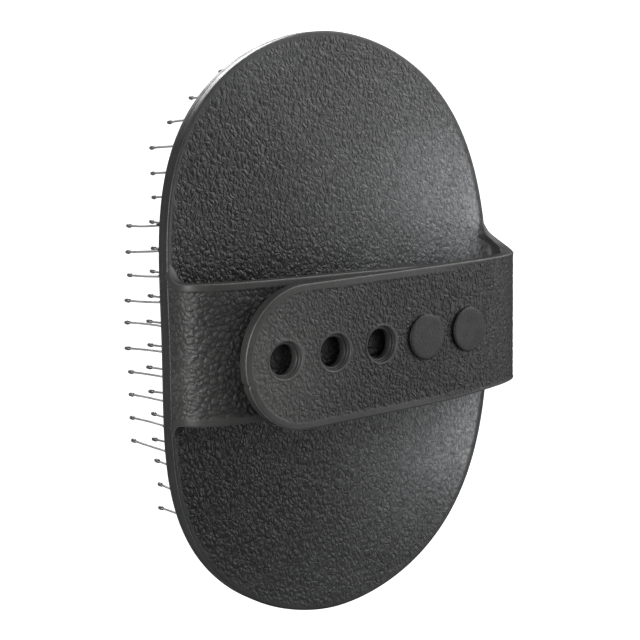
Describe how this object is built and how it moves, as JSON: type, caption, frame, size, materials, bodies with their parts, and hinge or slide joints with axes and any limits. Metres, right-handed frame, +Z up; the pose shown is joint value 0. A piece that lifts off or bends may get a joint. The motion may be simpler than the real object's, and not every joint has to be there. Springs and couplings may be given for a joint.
{
  "type": "curry comb",
  "caption": "Oval rubber grooming comb with ball-tipped steel pins below and a low hand strap that buttons over the top.",
  "frame": {"origin": "middle of the comb on the surface that its pin tips stand on", "axes": "+X across the comb, towards the edge that the outer strap grows from; +Y along the oval's long axis; +Z up, from the pins to the strap"},
  "size_m": [0.113, 0.165, 0.043],
  "materials": {
    "plate_rubber": "matt, pebbled grain",
    "pad_rubber": "matt",
    "strap_rubber": "matt, pebbled grain",
    "stud_rubber": "smooth satin",
    "pin_steel": "drawn wire with ball tips"
  },
  "bodies": {
    "comb": {"base_plate": "plate_rubber", "pin_pad": "pad_rubber", "pin_row_01": "pin_steel", "pin_row_02": "pin_steel", "pin_row_03": "pin_steel", "pin_row_04": "pin_steel", "pin_row_05": "pin_steel", "pin_row_06": "pin_steel", "pin_row_07": "pin_steel", "pin_row_08": "pin_steel", "pin_row_09": "pin_steel", "pin_row_10": "pin_steel", "pin_row_11": "pin_steel", "pin_row_12": "pin_steel", "pin_row_13": "pin_steel", "pin_row_14": "pin_steel", "pin_row_15": "pin_steel", "pin_row_16": "pin_steel", "pin_row_17": "pin_steel", "pin_row_18": "pin_steel", "pin_row_19": "pin_steel", "pin_row_20": "pin_steel", "pin_row_21": "pin_steel", "pin_row_22": "pin_steel"},
    "inner_band": {"inner_strap": "strap_rubber", "stud_1": "stud_rubber", "stud_2": "stud_rubber"},
    "outer_band": {"outer_strap": "strap_rubber"}
  },
  "joints": [
    {"name": "outer_strap_flex", "type": "hinge", "parent": "comb", "child": "outer_band", "pos_m": [0.05516, -0.0015, 0.0291], "axis": [0, 1, 0], "range_deg": [0, 90], "deforming": ["stud_1", "stud_2"]},
    {"name": "inner_strap_flex", "type": "hinge", "parent": "comb", "child": "inner_band", "pos_m": [-0.05336, -0.0015, 0.0291], "axis": [0, 1, 0], "range_deg": [0, 5], "stiffness_Nm_per_rad": 0.8, "springref_deg": -1.15}
  ]
}
